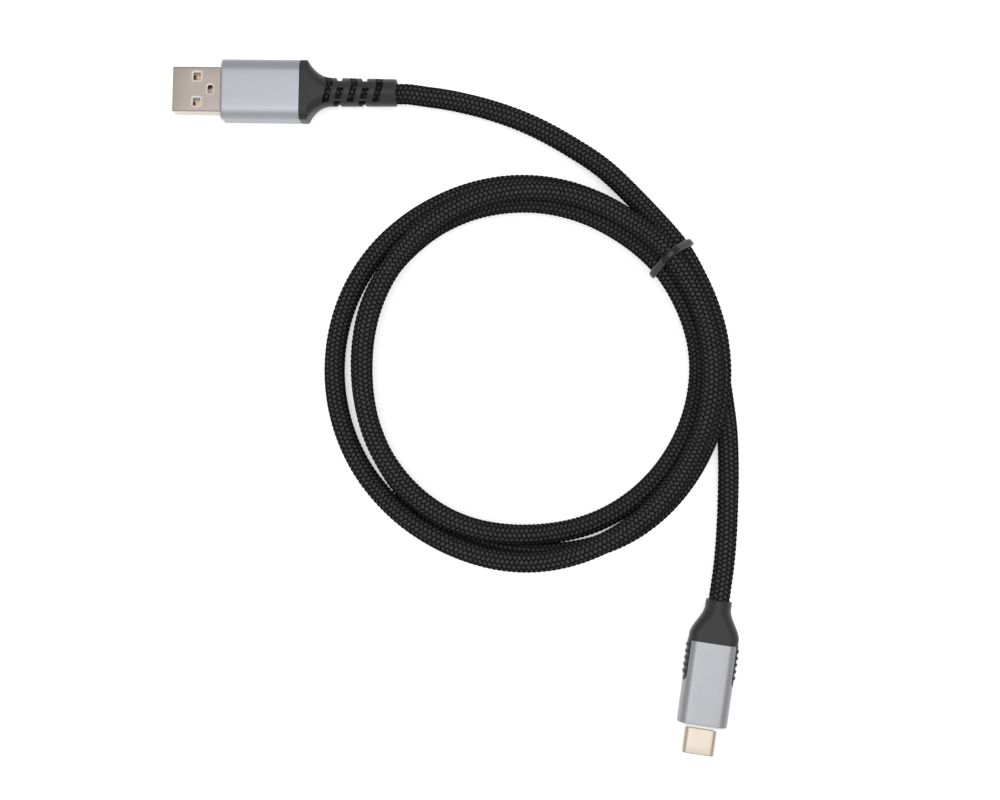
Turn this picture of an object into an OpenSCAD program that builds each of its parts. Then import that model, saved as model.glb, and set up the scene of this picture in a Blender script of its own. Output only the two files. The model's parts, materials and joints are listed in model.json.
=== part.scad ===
// USB-A to USB-C charging cable: two plugs with aluminium housings on a braided cord,
// wound in three turns and held by a rubber ring. Z = 0 is the table it lies on.

/* [Cord] */
// Diameter of the braided cord
cord_d = 5; // [4:0.1:6]
// Inner radius of the wound coil
coil_inner_r = 40.2; // [38:0.1:42]
// Outer radius of the wound coil
coil_outer_r = 52.9; // [52:0.1:56]
// Height of the wound coil's stacked turns
coil_h = 12; // [10:0.5:14]

/* [Tie band] */
// Thickness of the rubber ring around the coil
band_t = 1.2; // [1:0.1:2]
// Width of the rubber ring along the cord
band_w = 1.6; // [1:0.1:3]
// Where the ring sits, as an angle around the coil
band_angle = 39; // [30:1:48]

/* [USB-A plug] */
// Width of the steel shell
a_shell_w = 12; // [11.9:0.05:12.1]
// Thickness of the steel shell
a_shell_t = 4.5; // [4.4:0.05:4.6]
// Length of steel shell in front of the housing
a_shell_out = 12.8; // [12:0.1:14]
// Width of the aluminium housing
a_body_w = 15.8; // [15.4:0.1:18]
// Thickness of the aluminium housing
a_body_t = 8.2; // [7.8:0.1:9]
// Length of the aluminium housing
a_body_l = 20.8; // [19:0.1:24]
// Length of the funnel and collar behind the housing
a_funnel_l = 7; // [6:0.1:9]
// Length of the slotted sleeve behind the funnel
a_sleeve_l = 18.1; // [17:0.1:22]

/* [USB-C plug] */
// Width of the steel shell
c_shell_w = 8.25; // [8.2:0.05:8.3]
// Thickness of the steel shell
c_shell_t = 2.4; // [2.35:0.05:2.45]
// Length of steel shell in front of the housing
c_shell_out = 6.65; // [6.5:0.05:7]
// Width of the aluminium housing
c_body_w = 12.8; // [12.6:0.1:14]
// Thickness of the aluminium housing
c_body_t = 6.6; // [6.6:0.1:7.5]
// Length of the aluminium housing
c_body_l = 22.1; // [21:0.1:25]
// Length of the moulded neck behind the housing
c_neck_l = 10.9; // [10:0.1:14]
// Ribs on each side grip
grip_ribs = 5; // [3:1:6]

/* [Hidden] */
$fn = 64;
gap = 0.02;                 // fit between pieces that touch inside a plug
cut = 0.2;                  // how far a cutter runs past the face that it opens

// Places of the plugs' front faces and the way each plug points
a_at = [-60.2, 82.6];
a_turn = 179;
c_at = [64.2, -83];
c_turn = -98.4;

// Coil
coil_at = [20, 9];
coil_round = 2.5;           // rounding of the coil's section

// Steel shells
sheet = 0.3;
a_shell_r = 0.55;
a_shell_in = 6;             // length held inside the housing
c_shell_in = 4.5;
window = 2.2;               // square latch windows of the USB-A shell
window_x = 6.4;             // their distance from the tip
window_y = 3.35;            // their distance from the axis
flap_x = 9.9;               // oval crimp hole, from the tip
flap_w = 1.1;
flap_l = 2.6;
seam = 0.12;                // rolled seam under the USB-A shell

// Housings
a_wall = 0.8;
a_body_r = 2.7;
a_bevel = 0.5;
c_wall = 0.7;
c_body_r = 2.3;
c_bevel = 1.1;
grip_l = 10.7;              // side grips of the USB-C plug
grip_h = 4.2;
grip_deep = 0.1;            // the strips lie this far below the metal, their ribs stand proud
grip_proud = 0.3;
rib_pitch = 1.7;
rib_d = 1;

// Moulded strain reliefs
collar_l = 2.5;
a_neck_d = 7.2;
a_end_d = 6.7;
c_neck_d = 6.4;
jacket_d = 4.2;             // inner jacket, once the braid has been cut back
bore_d = cord_d + 0.1;      // the braided cord's way through a strain relief
slot_w = 1.8;
slot_pitch = 3.24;
slot_x0 = 0.9;              // first slot, from the front of the sleeve
bridge = 2.2;               // rubber left between the slots
corner_steps = 7;           // points on each rounded corner of a moulded section
root_l = 0.5;               // how far the part inside a housing reaches into the moulding
loft_steps = 9;

// USB-A contacts: distance from the axis, and length in front of the housing
contact_w = 1;
contact_t = 0.25;
contact_y = [3.5, 1, -1, -3.5];
contact_out = [11.3, 10.3, 10.3, 11.3];
contact_tail = 9;           // behind the housing's front face
tongue_out = 12;
block_out = 1.6;            // full-height block of the insulator
a_wire_d = 1.1;
a_jacket_x = 14;            // where the jacket ends inside the plug
a_mold_l = 15.5;

// USB-C inside
pin_pitch = 0.5;
pin_w = 0.24;
pin_t = 0.12;
pin_z = 0.42;               // inner face of each contact row, from the axis
upper_pins = [1, 4, 5, 6, 7, 9, 12];
lower_pins = [1, 4, 9, 12];
mouth_w = 6.9;
mouth_h = 0.8;
mouth_x = 0.9;              // bottom of the mouth
c_front = 6.3;              // front of the insulator
board_l = 8.5;
board_w = 8.4;
board_t = 0.8;
board_x = 5;                // front edge, behind the housing's front face
can_w = 9.2;
can_t = 3.7;
can_l = 10.5;
can_wall = 0.25;
c_wire_d = 0.9;
c_pad_x = 12.2;             // where the wires meet the board
c_jacket_x = 17.6;
c_mold_l = 18;

wire_start = 0.35;          // a slanting wire's end clears the jacket by this much
crimp_l = 3.6;
crimp_wall = 0.35;
end_cover = 26.6;           // jacket end's reach inside the USB-A plug
c_end_cover = 26;

a_relief_x = a_body_l + a_funnel_l;
a_back = a_relief_x + a_sleeve_l;
c_back = c_body_l + c_neck_l;
a_mid = a_body_t / 2;
c_mid = c_body_t / 2;

// A point on each plug's axis, x millimetres in front of its front face
function on_a(x) = [a_at[0] + x * cos(a_turn), a_at[1] + x * sin(a_turn), a_mid];
function on_c(x) = [c_at[0] + x * cos(c_turn), c_at[1] + x * sin(c_turn), c_mid];

// Routes of the two leads, from inside each plug to the coil
route_a = concat([on_a(-end_cover), on_a(-a_back), on_a(-a_back - 3)],
    [[-7, 81.1, 3.6], [-0.5, 80.1, 3.2], [10.2, 77.4, 3], [20.3, 73.6, 3.2],
     [30.8, 67.9, 4.2], [41.1, 60.5, 5.8], [48, 53.7, 7]]);
route_c = concat([on_c(-c_end_cover), on_c(-c_back), on_c(-c_back - 3)],
    [[70.3, -42, 2.8], [71, -35, 2.6], [71.6, -23, 2.6], [71.7, -12.5, 2.6],
     [71.2, -4, 3], [70.2, 3, 3.7]]);

// ---- shapes -------------------------------------------------------------------

// Each plug is drawn lying along X: its tip points to +X and its front face is at 0
module place_a() {
    translate([a_at[0], a_at[1], a_mid])
        rotate([0, 0, a_turn]) children();
}

module place_c() {
    translate([c_at[0], c_at[1], c_mid])
        rotate([0, 0, c_turn]) children();
}

// A rectangle with true round corners, or a slot shape when r is half of h
module rounded(w, h, r) {
    square([w - 2 * r, h], center = true);
    if (h > 2 * r) {
        square([w, h - 2 * r], center = true);
    }
    for (x = [-1, 1]) {
        for (y = [-1, 1]) {
            translate([x * (w / 2 - r), y * (h / 2 - r)]) circle(r = r);
        }
    }
}

// A rounded bar along X from x0 to x1
module bar(x0, x1, w, h, r) {
    translate([x0, 0, 0]) rotate([90, 0, 90])
        linear_extrude(x1 - x0) rounded(w, h, r);
}

// A plain block along X, centred on y and z
module block(x0, x1, w, h, y = 0, z = 0) {
    translate([x0, y - w / 2, z - h / 2]) cube([x1 - x0, w, h]);
}

// A round bar along X
module rod(x0, x1, d) {
    translate([x0, 0, 0]) rotate([0, 90, 0]) cylinder(h = x1 - x0, d = d);
}

// A round bar between two points
module strut(p, q, d) {
    v = q - p;
    turn = atan2(v[1], v[0]);
    tip = atan2(norm([v[0], v[1]]), v[2]);
    translate(p) rotate([0, tip, turn]) cylinder(h = norm(v), d = d);
}

// Keeps only what is behind a bevel of size b around the front end at x = 0
module bevel_front(l, w, h, b) {
    outline_w = [[-l, -w / 2], [-b, -w / 2], [0, -w / 2 + b], [0, w / 2 - b],
        [-b, w / 2], [-l, w / 2]];
    outline_h = [[-l, -h / 2], [-b, -h / 2], [0, -h / 2 + b], [0, h / 2 - b],
        [-b, h / 2], [-l, h / 2]];
    intersection() {
        children();
        translate([0, 0, -h]) linear_extrude(2 * h) polygon(outline_w);
        rotate([90, 0, 0]) translate([0, 0, -w]) linear_extrude(2 * w)
            polygon(outline_h);
    }
}

// Points of a rounded section across X: width w, thickness h, corner radius r
function section(x, w, h, r) = [for (q = [0:3]) for (i = [0:corner_steps - 1])
    let (a = 90 * q + 90 * (i + 0.5) / corner_steps,
        cy = (w / 2 - r) * (q == 0 || q == 3 ? 1 : -1),
        cz = (h / 2 - r) * (q < 2 ? 1 : -1))
    [x, cy + r * cos(a), -cz - r * sin(a)]];

// A closed skin over sections that all have the same number of points
module skin(rings) {
    n = len(rings[0]);
    last = len(rings) - 1;
    sides = [for (k = [0:last - 1]) for (i = [0:n - 1])
        [k * n + i, k * n + (i + 1) % n, (k + 1) * n + (i + 1) % n, (k + 1) * n + i]];
    lids = [[for (i = [n - 1:-1:0]) i], [for (i = [0:n - 1]) last * n + i]];
    polyhedron([for (ring = rings) for (p = ring) p], concat(lids, sides));
}

// Blend between two sections: share s from 0, the first, to 1, the second
function between(a, b, s) = a + (b - a) * s;

// A cord of 12 sides along a route of points
function cord_way(route, k) =
    let (a = route[max(0, k - 1)], b = route[min(len(route) - 1, k + 1)])
    (b - a) / norm(b - a);
function cord_ring(route, k, d) =
    let (way = cord_way(route, k),
        side = cross(way, [0, 0, 1]) / norm(cross(way, [0, 0, 1])),
        top = cross(side, way))
    [for (i = [0:11]) route[k]
        + d / 2 * (side * cos(30 * i + 15) + top * sin(30 * i + 15))];
module cord(route, d) {
    skin([for (k = [0:len(route) - 1]) cord_ring(route, k, d)]);
}

// ---- cord and tie ---------------------------------------------------------------

module coil_section(grow) {
    w = coil_outer_r - coil_inner_r;
    translate([(coil_inner_r + coil_outer_r) / 2, band_t + coil_h / 2])
        rounded(w + 2 * grow, coil_h + 2 * grow, coil_round + grow);
}

module cord_coil() {
    color("#28282a") translate([coil_at[0], coil_at[1], 0])
        rotate_extrude($fn = 180) coil_section(0);
}

module cord_lead_a() {
    color("#28282a") cord(route_a, cord_d);
}

module cord_lead_c() {
    color("#28282a") cord(route_c, cord_d);
}

// The rubber ring is a short stretch of a hose around the coil's section
module tie_band() {
    mean_r = (coil_inner_r + coil_outer_r) / 2;
    spread = band_w / mean_r * 180 / PI;
    clear = 0.05;
    color("#1c1c1d") translate([coil_at[0], coil_at[1], 0])
        rotate([0, 0, band_angle - spread / 2]) rotate_extrude(angle = spread, $fn = 180)
            difference() {
                coil_section(band_t);
                coil_section(clear);
            }
}

// ---- USB-A plug -------------------------------------------------------------------

module a_flap_hole(grow = 0) {
    x = a_shell_out - flap_x;
    translate([x, 0, 0]) linear_extrude(a_shell_t)
        rounded_hole(flap_w + grow, flap_l + grow);
}

module rounded_hole(w, l) {
    rotate([0, 0, 90]) rounded(l, w, w / 2);
}

module usb_a_shell() {
    x = a_shell_out - window_x;
    color("#b8aea8") place_a() difference() {
        bar(-a_shell_in, a_shell_out, a_shell_w, a_shell_t, a_shell_r);
        bar(-a_shell_in - cut, a_shell_out + cut, a_shell_w - 2 * sheet,
            a_shell_t - 2 * sheet, a_shell_r - sheet);
        for (y = [-window_y, window_y]) {
            block(x - window / 2, x + window / 2, window, 2 * a_shell_t, y);
        }
        a_flap_hole();
        block(-a_shell_in - cut, a_shell_out + cut, seam, a_shell_t / 2, 0, -a_shell_t / 2);
    }
}

// The way that a contact takes through the insulator and the inner mould
module a_contact(i, grow) {
    block(-contact_tail - grow, contact_out[i] + grow, contact_w + 2 * grow,
        contact_t + 2 * grow, contact_y[i]);
}

module usb_a_insulator() {
    w = a_shell_w - 2 * sheet - 2 * gap;
    h = a_shell_t - 2 * sheet - 2 * gap;
    color("#f2f0ea") place_a() difference() {
        intersection() {
            bar(-a_shell_in, tongue_out, w, h, a_shell_r - sheet);
            union() {
                block(-a_shell_in, tongue_out, w, h / 2, 0, -h / 4);
                block(-a_shell_in, block_out, w, h);
            }
        }
        for (i = [0:3]) {
            a_contact(i, gap);
        }
    }
}

module contact(i) {
    color("#d9a441") place_a() a_contact(i, 0);
}

module usb_a_contact_vbus() { contact(0); }
module usb_a_contact_dminus() { contact(1); }
module usb_a_contact_dplus() { contact(2); }
module usb_a_contact_gnd() { contact(3); }

// Each wire fans out from the jacket to its contact's tail
module a_wire(i, d) {
    side = contact_y[i] > 0 ? 1 : -1;
    row = abs(contact_y[i]) > 2 ? 1 : -1;
    strut([-a_jacket_x + wire_start, side * a_wire_d * 0.6, row * a_wire_d * 0.6],
        [-contact_tail - contact_t, contact_y[i], 0], d);
}

module usb_a_wire_red() { color("#c02020") place_a() a_wire(0, a_wire_d); }
module usb_a_wire_white() { color("#e8e8e8") place_a() a_wire(1, a_wire_d); }
module usb_a_wire_green() { color("#208040") place_a() a_wire(2, a_wire_d); }
module usb_a_wire_black() { color("#202020") place_a() a_wire(3, a_wire_d); }

// The hollow of the housing, which the inner mould and the overmold fill between them
module a_core(x0, x1) {
    bar(x0, x1, a_body_w - 2 * a_wall - 2 * gap, a_body_t - 2 * a_wall - 2 * gap,
        a_body_r - a_wall);
}

module usb_a_inner_mold() {
    solder = contact_tail + 2;
    color("#dcdcd4") place_a() difference() {
        a_core(-a_mold_l, -a_wall - gap);
        bar(-a_shell_in - gap, cut, a_shell_w + 2 * gap, a_shell_t + 2 * gap, a_shell_r);
        block(-solder, -a_shell_in, 9, 2 * a_wire_d);
        for (i = [0:3]) {
            a_wire(i, a_wire_d + 2 * gap);
        }
        rod(-a_mold_l - cut, -a_jacket_x + gap, jacket_d + 2 * gap);
    }
}

module a_crimp_ring(x, grow) {
    rod(x - crimp_l - grow, x, jacket_d + 2 * crimp_wall + 2 * grow);
}

module usb_a_crimp() {
    color("#b0a890") place_a() difference() {
        a_crimp_ring(-a_mold_l, 0);
        rod(-a_mold_l - crimp_l - cut, -a_mold_l + cut, jacket_d + 2 * gap);
    }
}

module usb_a_cable_end() {
    color("#4a4a4c") place_a() rod(-end_cover + gap, -a_jacket_x, jacket_d);
}

module usb_a_housing() {
    color("#b4b6bd") place_a() difference() {
        bevel_front(a_body_l, a_body_w, a_body_t, a_bevel)
            bar(-a_body_l, 0, a_body_w, a_body_t, a_body_r);
        bar(-a_body_l - cut, -a_wall, a_body_w - 2 * a_wall, a_body_t - 2 * a_wall,
            a_body_r - a_wall);
        bar(-a_wall - cut, cut, a_shell_w + 2 * gap, a_shell_t + 2 * gap, a_shell_r);
    }
}

// The funnel behind the collar narrows quickly at first, then runs out into the sleeve
function a_funnel(s) =
    let (left = pow(1 - s, 2.5))
    section(-a_body_l - collar_l - s * (a_funnel_l - collar_l),
        between(a_neck_d, a_body_w, left), between(a_neck_d, a_body_t, left),
        between(a_neck_d / 2, a_body_r, left));

// Sleeve end, funnel and collar, from the back to the front
a_outer = concat(
    [section(-a_back, a_end_d, a_end_d, a_end_d / 2)],
    [for (k = [loft_steps:-1:0]) a_funnel(k / loft_steps)],
    [section(-a_body_l, a_body_w, a_body_t, a_body_r)]);

// One ring of slots through the sleeve's wall, turned about the cord's axis
module slot_ring(x, openings, turned) {
    for (k = [0:openings - 1]) {
        rotate([turned + 360 / openings * k, 0, 0])
            block(x - slot_w / 2, x + slot_w / 2,
                openings == 2 ? a_neck_d - bridge : a_neck_d / 2 - 0.6, a_neck_d / 2,
                0, a_neck_d / 4 + cord_d / 4);
    }
}

module usb_a_overmold() {
    color("#464648") place_a() difference() {
        union() {
            a_core(-a_body_l - root_l, -a_mold_l - gap);
            skin(a_outer);
        }
        rod(-a_back - cut, -end_cover, bore_d);
        rod(-end_cover - cut, -a_mold_l + cut, jacket_d + 2 * gap);
        a_crimp_ring(-a_mold_l + gap, gap);
        for (k = [0:4]) {
            slot_ring(-a_relief_x - slot_x0 - k * slot_pitch, k % 2 == 0 ? 2 : 4, 0);
        }
    }
}

// ---- USB-C plug -------------------------------------------------------------------

module usb_c_shell() {
    color("#e6d8c8") place_c() difference() {
        bar(-c_shell_in, c_shell_out, c_shell_w, c_shell_t, c_shell_t / 2);
        bar(-c_shell_in - cut, c_shell_out + cut, c_shell_w - 2 * sheet,
            c_shell_t - 2 * sheet, c_shell_t / 2 - sheet);
    }
}

// One row of contacts on side s of the board, 1 above and -1 below
module c_pins(pins, s, grow) {
    for (p = pins) {
        block(-board_x - 1.4 - grow, c_front - 1 + grow, pin_w + 2 * grow,
            pin_t + 2 * grow, (p - 6.5) * pin_pitch, s * (pin_z + pin_t / 2));
    }
}

// The latch is one U of spring steel with an arm down each side of the mouth
module c_latch(grow) {
    arm_y = mouth_w / 2 - 0.05;
    for (s = [-1, 1]) {
        block(-c_shell_in + 0.2 - grow, c_front - 0.8 + grow, 0.25 + 2 * grow,
            0.3 + 2 * grow, s * arm_y);
    }
    block(-c_shell_in + 0.2 - grow, -c_shell_in + 1.2 + grow, 2 * arm_y + 2 * grow,
        0.15 + 2 * grow);
}

// Ground springs: thin plates above and below the mouth, in recesses of the insulator
module c_ground(s, grow) {
    block(1.5 - grow, 5.5 + grow, 5 + 2 * grow, 0.1 + grow, 0, s * (0.77 + grow / 2));
}

module usb_c_insulator() {
    w = c_shell_w - 2 * sheet - 2 * gap;
    h = c_shell_t - 2 * sheet - 2 * gap;
    color("#1d1d1f") place_c() difference() {
        bar(-c_shell_in, c_front, w, h, h / 2);
        block(mouth_x, c_front + cut, mouth_w, mouth_h);
        c_pins(upper_pins, 1, gap);
        c_pins(lower_pins, -1, gap);
        c_latch(gap);
        for (s = [-1, 1]) {
            c_ground(s, 0.05);
        }
    }
}

module usb_c_contacts_upper() { color("#d9a441") place_c() c_pins(upper_pins, 1, 0); }
module usb_c_contacts_lower() { color("#d9a441") place_c() c_pins(lower_pins, -1, 0); }
module usb_c_latch() { color("#c0c0c0") place_c() c_latch(0); }

module usb_c_ground_springs() {
    color("#c8c0b0") place_c() {
        c_ground(1, 0);
        c_ground(-1, 0);
    }
}

module usb_c_board() {
    color("#1f6b3a") place_c()
        block(-board_x - board_l, -board_x, board_w, board_t);
}

module usb_c_resistor() {
    color("#202020") place_c()
        block(-board_x - 4.6, -board_x - 3, 0.8, 0.35, 0, board_t / 2 + 0.175 + gap);
}

module usb_c_shield_can() {
    color("#c4c4c4") place_c() difference() {
        block(-c_shell_in - gap - can_l, -c_shell_in - gap, can_w, can_t);
        block(-c_shell_in - can_l - 1, -c_shell_in + 1, can_w - 2 * can_wall,
            can_t - 2 * can_wall);
    }
}

// Red and black lie on top of the board, white and green below it
module c_wire(side, row, d) {
    strut([-c_jacket_x + wire_start, side * c_wire_d * 0.6, row * c_wire_d * 0.6],
        [-c_pad_x, side * 1.8, row * (board_t / 2 + c_wire_d / 2 + 0.06)], d);
}

module usb_c_wire_red() { color("#c02020") place_c() c_wire(1, 1, c_wire_d); }
module usb_c_wire_black() { color("#202020") place_c() c_wire(-1, 1, c_wire_d); }
module usb_c_wire_white() { color("#e8e8e8") place_c() c_wire(1, -1, c_wire_d); }
module usb_c_wire_green() { color("#208040") place_c() c_wire(-1, -1, c_wire_d); }

module c_core(x0, x1) {
    bar(x0, x1, c_body_w - 2 * c_wall - 2 * gap, c_body_t - 2 * c_wall - 2 * gap,
        c_body_r - c_wall);
}

// The grips' place in the housing's sides
module c_grip_bed(grow) {
    for (s = [-1, 1]) {
        block(-c_body_l - 1, -c_body_l + grip_l + grow, 2 * c_wall + 0.6,
            grip_h + 2 * grow, s * (c_body_w / 2));
    }
}

module usb_c_inner_mold() {
    color("#dcdcd4") place_c() difference() {
        c_core(-c_mold_l, -c_wall - gap);
        bar(-c_shell_in - gap, cut, c_shell_w + 2 * gap, c_shell_t + 2 * gap,
            c_shell_t / 2 + gap);
        block(-c_shell_in - can_l - 2 * gap, -c_shell_in, can_w + 2 * gap, can_t + 2 * gap);
        for (side = [-1, 1]) {
            for (row = [-1, 1]) {
                c_wire(side, row, c_wire_d + 2 * gap);
            }
        }
        rod(-c_mold_l - cut, -c_jacket_x + gap, jacket_d + 2 * gap);
        c_grip_bed(gap);
    }
}

module c_crimp_ring(x, grow) {
    rod(x - crimp_l - grow, x, jacket_d + 2 * crimp_wall + 2 * grow);
}

module usb_c_crimp() {
    color("#b0a890") place_c() difference() {
        c_crimp_ring(-c_mold_l, 0);
        rod(-c_mold_l - crimp_l - cut, -c_mold_l + cut, jacket_d + 2 * gap);
    }
}

module usb_c_cable_end() {
    color("#4a4a4c") place_c() rod(-c_end_cover + gap, -c_jacket_x, jacket_d);
}

module usb_c_housing() {
    color("#b4b6bd") place_c() difference() {
        bevel_front(c_body_l, c_body_w, c_body_t, c_bevel)
            bar(-c_body_l, 0, c_body_w, c_body_t, c_body_r);
        bar(-c_body_l - cut, -c_wall, c_body_w - 2 * c_wall, c_body_t - 2 * c_wall,
            c_body_r - c_wall);
        bar(-c_wall - cut, cut, c_shell_w + 2 * gap, c_shell_t + 2 * gap,
            c_shell_t / 2 + gap);
        c_grip_bed(0);
    }
}

// The neck swells from the cord to the housing's full width in one soft shoulder
function c_neck(s) =
    let (late = pow(s, 1.25), swell = late * late * (3 - 2 * late))
    section(-c_back + s * c_neck_l,
        between(c_neck_d, c_body_w, swell),
        between(c_neck_d, c_body_t, swell),
        between(c_neck_d / 2, c_body_r, swell));

module usb_c_overmold() {
    color("#464648") place_c() difference() {
        union() {
            skin([for (k = [0:loft_steps + 3]) c_neck(k / (loft_steps + 3))]);
            c_core(-c_body_l - root_l, -c_mold_l - gap);
            c_side_grips();
        }
        rod(-c_back - cut, -c_end_cover, bore_d);
        rod(-c_end_cover - cut, -c_mold_l + cut, jacket_d + 2 * gap);
        c_crimp_ring(-c_mold_l + gap, gap);
    }
}

// Two ribbed strips that run forward from the neck in the housing's side slots
module c_side_grips() {
    rib_x0 = -c_body_l + 1.4;
    intersection() {
        bar(-c_body_l - root_l, -c_body_l + grip_l - gap, c_body_w - 2 * grip_deep,
            c_body_t - 2 * grip_deep, c_body_r - grip_deep);
        for (s = [-1, 1]) {
            block(-c_body_l - root_l, -c_body_l + grip_l - gap, 2 * c_wall + 0.5,
                grip_h - 2 * gap, s * (c_body_w / 2));
        }
    }
    for (s = [-1, 1]) {
        for (k = [0:grip_ribs - 1]) {
            translate([rib_x0 + k * rib_pitch, s * (c_body_w / 2 + grip_proud - rib_d / 2),
                -grip_h / 2 + 0.6])
                cylinder(h = grip_h - 1.2, d = rib_d);
        }
    }
}

cord_coil();
cord_lead_a();
cord_lead_c();
tie_band();
usb_a_shell();
usb_a_insulator();
usb_a_contact_vbus();
usb_a_contact_dminus();
usb_a_contact_dplus();
usb_a_contact_gnd();
usb_a_inner_mold();
usb_a_crimp();
usb_a_cable_end();
usb_a_wire_red();
usb_a_wire_white();
usb_a_wire_green();
usb_a_wire_black();
usb_a_housing();
usb_a_overmold();
usb_c_shell();
usb_c_insulator();
usb_c_contacts_upper();
usb_c_contacts_lower();
usb_c_latch();
usb_c_ground_springs();
usb_c_board();
usb_c_resistor();
usb_c_shield_can();
usb_c_inner_mold();
usb_c_crimp();
usb_c_cable_end();
usb_c_wire_red();
usb_c_wire_white();
usb_c_wire_green();
usb_c_wire_black();
usb_c_housing();
usb_c_overmold();
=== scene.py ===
import json
import math

import bmesh
import bpy
import numpy as np
from mathutils import Matrix, Vector


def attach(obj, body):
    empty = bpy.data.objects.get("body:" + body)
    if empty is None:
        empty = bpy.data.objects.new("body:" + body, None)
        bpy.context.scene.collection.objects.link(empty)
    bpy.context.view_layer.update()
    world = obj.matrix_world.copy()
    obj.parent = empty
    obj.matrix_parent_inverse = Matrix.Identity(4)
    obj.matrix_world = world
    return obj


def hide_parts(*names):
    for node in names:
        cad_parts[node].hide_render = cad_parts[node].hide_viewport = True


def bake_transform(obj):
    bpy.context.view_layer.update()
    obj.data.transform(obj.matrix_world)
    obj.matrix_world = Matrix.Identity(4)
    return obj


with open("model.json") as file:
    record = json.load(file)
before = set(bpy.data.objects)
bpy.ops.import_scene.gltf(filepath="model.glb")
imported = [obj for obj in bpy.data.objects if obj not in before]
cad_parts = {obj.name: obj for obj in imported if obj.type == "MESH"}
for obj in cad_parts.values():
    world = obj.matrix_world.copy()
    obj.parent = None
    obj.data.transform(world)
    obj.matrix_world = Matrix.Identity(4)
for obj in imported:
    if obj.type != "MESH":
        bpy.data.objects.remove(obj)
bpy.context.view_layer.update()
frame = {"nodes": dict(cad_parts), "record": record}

# A charging cable wound in three turns, with a USB-A plug and a USB-C plug. The cord is worked
# out in metres, and each plug in millimetres in its own frame, which mount_frame() places.

MM = 0.001
UP = np.array([0.0, 0.0, 1.0])
MOUNTS = {m["name"]: m for m in frame["record"]["mounts"]}


# ---- camera -----------------------------------------------------------------------------

CAMERA_AT = Vector((0.02435, -0.01953, 0.418))
LOOK_AT = Vector((0.0126, 0.0014, 0.0))
LENS = 57.6

camera_data = bpy.data.cameras.new("camera")
camera_data.lens = LENS
camera_data.sensor_width = 36.0
camera_data.clip_start = 0.01
camera_data.clip_end = 20.0
camera = bpy.data.objects.new("camera", camera_data)
bpy.context.scene.collection.objects.link(camera)
camera.location = CAMERA_AT
forward = (LOOK_AT - CAMERA_AT).normalized()
camera_up = (Vector((0, 1, 0)) - forward * forward.y).normalized()
camera_right = forward.cross(camera_up)
camera.rotation_euler = Matrix((camera_right, camera_up, -forward)).transposed().to_euler()
bpy.context.scene.camera = camera


# ---- places -----------------------------------------------------------------------------

# Along each plug's own X: how far its steel shell stands out, where its strain relief ends,
# where the cord ends inside that, and the two ends of the stretch that bends. The cord comes
# out of a strain relief straight for STRAIGHT_L.
A_SHELL_OUT = 12.8
C_SHELL_OUT = 6.65
A_END_X = -45.9
C_END_X = -33.0
A_CORD_X = -24.5
C_CORD_X = -30.0
STRAIGHT_L = 3.0


def mount_frame(name, shell_out):
    """A plug's own frame: X runs out of its tip, and its housing's front face is at 0."""
    mount = MOUNTS[name]
    out = Vector(mount["axis"]).normalized()
    side = Vector((0, 0, 1)).cross(out)
    turn = Matrix((out, side, Vector((0, 0, 1)))).transposed().to_4x4()
    front = Vector(mount["pos_m"]) - out * shell_out * MM
    return Matrix.Translation(front) @ turn @ Matrix.Scale(MM, 4)


A_FRAME = mount_frame("usb_a_plug", A_SHELL_OUT)
C_FRAME = mount_frame("usb_c_plug", C_SHELL_OUT)


def on_a(x):
    """The place at x on the USB-A plug's own axis."""
    return A_FRAME @ Vector((x, 0, 0))


def on_c(x):
    """The place at x on the USB-C plug's own axis."""
    return C_FRAME @ Vector((x, 0, 0))


# ---- cord -------------------------------------------------------------------------------

# The cord's thickness, the coil's middle, and how far from it a strand can be and still be
# part of the bundle
CORD_D = 0.005
COIL_MIDDLE = (0.0205, 0.009)
COIL_REACH = 0.056

# The rubber ring: its place around the coil, clockwise, its rubber's thickness and width, and
# how far to each side it lifts the cord that lies on it
BAND_DEG = -39.0
BAND_T = 0.0012
BAND_W = 0.0020
BAND_HALF_DEG = 1.6

# Distance from the coil's middle and height of the cord in millimetres every 30 degrees,
# clockwise seen from above, from where the USB-A lead comes in to where the USB-C lead goes
# out. The knots past WOUND_FROM and WOUND_TO only steer the curve there.
KNOT_DEG = 30
FIRST_DEG = -60
WOUND_FROM = -50
WOUND_TO = 1074
TURNS = [
    (51.1, 7.0), (48.9, 7.0), (48.9, 7.4), (49.2, 3.2), (49.1, 2.5), (47.3, 2.5),
    (46.0, 2.5), (44.3, 2.5), (44.1, 2.5), (45.3, 2.8), (44.7, 4.9), (43.7, 4.7),
    (42.8, 5.2), (43.1, 5.8), (43.8, 3.2), (43.3, 2.5), (42.9, 2.5), (42.6, 4.9),
    (43.8, 7.1), (43.9, 7.5), (43.2, 7.5), (44.3, 7.6), (45.5, 9.6), (46.1, 9.2),
    (45.9, 9.5), (46.0, 11.2), (46.2, 11.4), (46.9, 7.8), (48.1, 7.4), (49.5, 7.1),
    (49.6, 6.0), (50.6, 2.5), (51.0, 2.5), (50.8, 2.5), (49.5, 2.5), (48.5, 2.5),
    (47.2, 2.5), (46.9, 2.5), (48.5, 2.5),
]

# Places on the free leads in metres, from the USB-A plug to the coil and from there to the
# USB-C plug
LEAD_A = [
    (-0.0070, 0.0811, 0.0036), (-0.0005, 0.0801, 0.0032), (0.0102, 0.0774, 0.0030),
    (0.0203, 0.0736, 0.0032), (0.0308, 0.0679, 0.0042), (0.0411, 0.0605, 0.0058),
]
LEAD_C = [
    (0.0712, -0.0040, 0.0030), (0.0717, -0.0125, 0.0026), (0.0716, -0.0230, 0.0026),
    (0.0710, -0.0350, 0.0026), (0.0703, -0.0420, 0.0028),
]
ROUTE_STEP = 0.0015

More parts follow.
